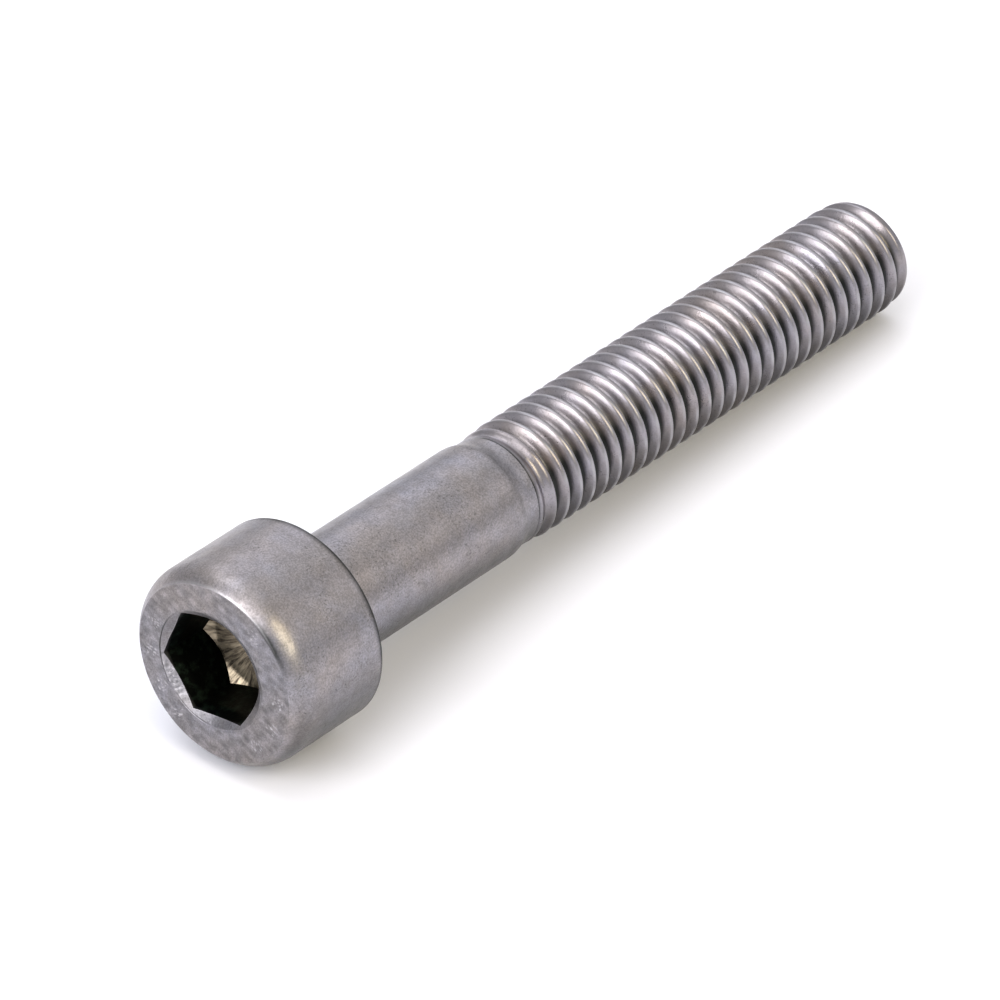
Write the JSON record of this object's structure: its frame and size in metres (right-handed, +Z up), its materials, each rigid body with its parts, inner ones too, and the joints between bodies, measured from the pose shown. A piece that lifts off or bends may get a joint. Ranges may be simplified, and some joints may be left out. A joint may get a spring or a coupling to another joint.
{
  "type": "hex socket cap screw",
  "caption": "Partly threaded cap screw with a smooth cylindrical head, a hexagonal drive socket and a beveled tip, lying on its side.",
  "frame": {"origin": "on the table, under the middle of the screw's length", "axes": "+X runs along the table from the head towards the tip, +Z is up; the screw's own axis dips three degrees below +X, because it lies on the rim of its head and on its tip"},
  "size_m": [0.0402, 0.0084, 0.0087],
  "materials": {
    "steel": "tumbled stainless steel, satin, with fine dark specks"
  },
  "bodies": {
    "root": {"cap_screw": "steel"}
  },
  "joints": []
}
